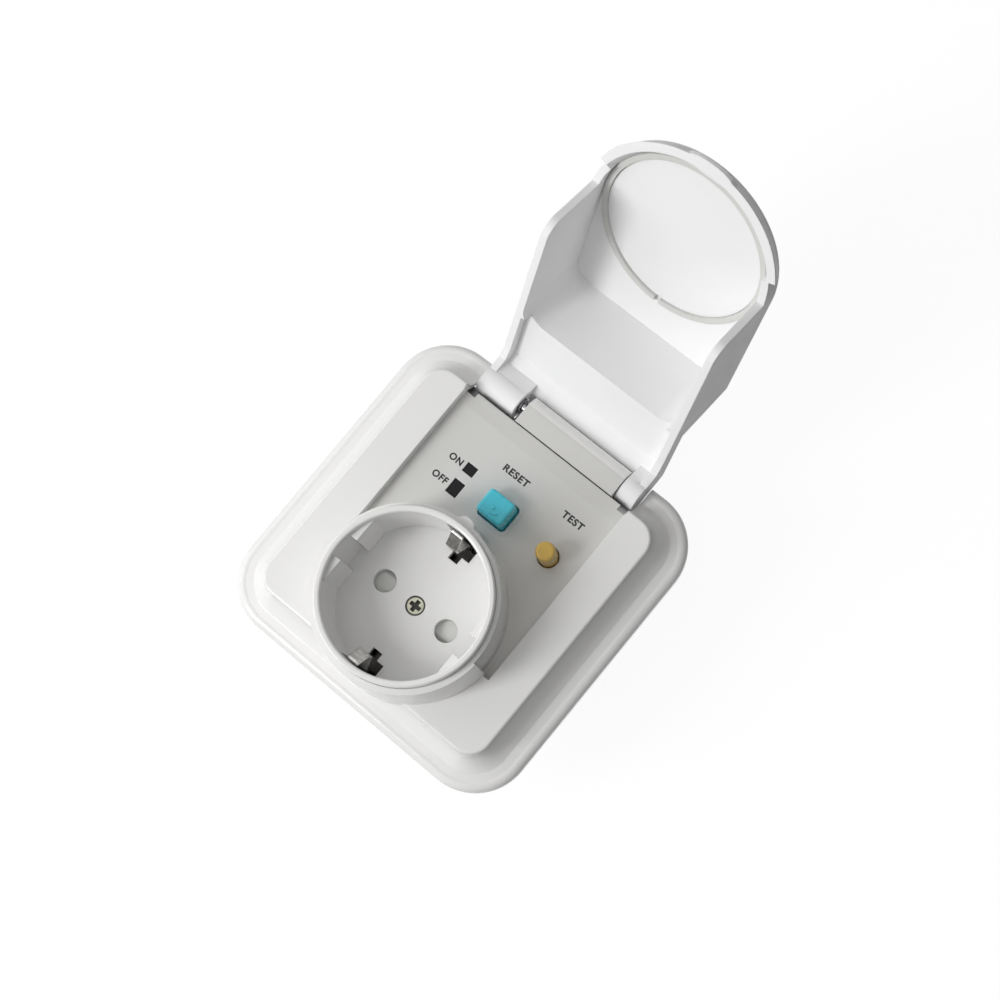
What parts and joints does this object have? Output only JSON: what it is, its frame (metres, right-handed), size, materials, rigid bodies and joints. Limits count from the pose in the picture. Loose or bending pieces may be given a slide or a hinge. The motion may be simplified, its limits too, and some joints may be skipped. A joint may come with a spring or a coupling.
{
  "type": "residual current device socket",
  "caption": "Square flush socket with residual current device, round earthed recess, reset and test buttons, and a hinged hood lid that stands open.",
  "frame": {"origin": "centre of the plate on the wall plane, between the two wall screw slots", "axes": "+Z out of the wall, +Y up the plate towards the hinge, +X along the hinge"},
  "size_m": [0.086, 0.1418, 0.0946],
  "materials": {
    "white_gloss": "gloss",
    "smoked_lens": "gloss",
    "seal_rubber": "satin",
    "screw_steel": "satin",
    "pin_steel": "satin",
    "spring_steel": "satin",
    "turquoise_plastic": "satin",
    "yellow_plastic": "satin",
    "black_plastic": "matt",
    "plated_steel": "zinc plated",
    "grey_plastic": "matt",
    "housing_plastic": "matt",
    "nickel_clip": "nickel plated",
    "shutter_plastic": "matt",
    "contact_brass": "satin",
    "silver_contact": "silver",
    "board_green": "solder mask",
    "resistor_body": "lacquer",
    "component_black": "moulded",
    "core_grey": "coated",
    "copper_wire": "enamelled copper",
    "bobbin_plastic": "matt",
    "terminal_brass": "machined"
  },
  "bodies": {
    "base": {"front_cover": "white_gloss", "indicator_lenses": "smoked_lens", "socket_cup": "white_gloss", "hinge_bracket": "white_gloss", "bracket_screws": "screw_steel", "hinge_pin": "pin_steel", "hinge_spring": "spring_steel", "mounting_frame": "plated_steel", "middle_deck": "grey_plastic", "frame_screws": "screw_steel", "centre_screw": "screw_steel", "rear_housing": "housing_plastic", "earth_bracket": "nickel_clip", "shutter_spring": "spring_steel", "neutral_contact": "contact_brass", "live_contact": "contact_brass", "contact_posts": "contact_brass", "contact_rivets": "silver_contact", "reset_spring": "spring_steel", "test_spring": "spring_steel", "circuit_board": "board_green", "test_contact_leaf": "contact_brass", "test_resistor": "resistor_body", "board_components": "component_black", "transformer_core": "core_grey", "transformer_winding": "copper_wire", "primary_conductors": "copper_wire", "trip_yoke": "plated_steel", "trip_bobbin": "bobbin_plastic", "trip_winding": "copper_wire", "plunger_spring": "spring_steel", "latch_bracket": "plated_steel", "neutral_terminal": "terminal_brass", "earth_terminal": "terminal_brass", "live_terminal": "terminal_brass", "terminal_screws": "screw_steel"},
    "lid": {"lid": "white_gloss", "lid_seal": "seal_rubber"},
    "reset": {"reset_button": "turquoise_plastic"},
    "carrier": {"contact_carrier": "black_plastic", "moving_contacts": "contact_brass"},
    "flag": {"indicator_flag": "black_plastic"},
    "test": {"test_button": "yellow_plastic"},
    "shutter": {"shutter": "shutter_plastic"},
    "plunger": {"trip_plunger": "pin_steel"},
    "lever": {"latch_lever": "grey_plastic"}
  },
  "joints": [
    {"name": "lid_hinge", "type": "hinge", "parent": "base", "child": "lid", "pos_m": [0, 0.039, 0.0041], "axis": [1, 0, 0], "range_deg": [0, 117], "deforming": ["hinge_spring"]},
    {"name": "reset_press", "type": "slide", "parent": "base", "child": "reset", "axis": [0, 0, -1], "range_m": [0, 0.002], "stiffness_N_per_m": 800, "springref_m": -0.001, "deforming": ["reset_spring"]},
    {"name": "contact_close", "type": "slide", "parent": "base", "child": "carrier", "axis": [0, 0, -1], "range_m": [0, 0.002], "deforming": ["reset_spring"]},
    {"name": "flag_slide", "type": "slide", "parent": "base", "child": "flag", "axis": [0, 1, 0], "range_m": [0, 0.0026]},
    {"name": "test_press", "type": "slide", "parent": "base", "child": "test", "axis": [0, 0, -1], "range_m": [0, 0.0015], "stiffness_N_per_m": 500, "springref_m": -0.001, "deforming": ["test_spring"]},
    {"name": "shutter_turn", "type": "hinge", "parent": "base", "child": "shutter", "pos_m": [0, -0.0148, 0.0076], "axis": [0, 0, 1], "range_deg": [0, 45], "stiffness_Nm_per_rad": 0.002, "springref_deg": -17.19, "deforming": ["shutter_spring"]},
    {"name": "trip_slide", "type": "slide", "parent": "base", "child": "plunger", "axis": [0, -1, 0], "range_m": [0, 0.002], "stiffness_N_per_m": 300, "springref_m": -0.001, "deforming": ["plunger_spring"]},
    {"name": "latch_turn", "type": "hinge", "parent": "base", "child": "lever", "pos_m": [0.015, 0.0191, -0.0095], "axis": [-1, 0, 0], "range_deg": [0, 10]}
  ],
  "couplings": [
    {"joint": "contact_close", "follows": "reset_press", "ratio": 1},
    {"joint": "flag_slide", "follows": "reset_press", "ratio": 1.3},
    {"joint": "latch_turn", "follows": "trip_slide", "rad_per_m": 82.645}
  ]
}
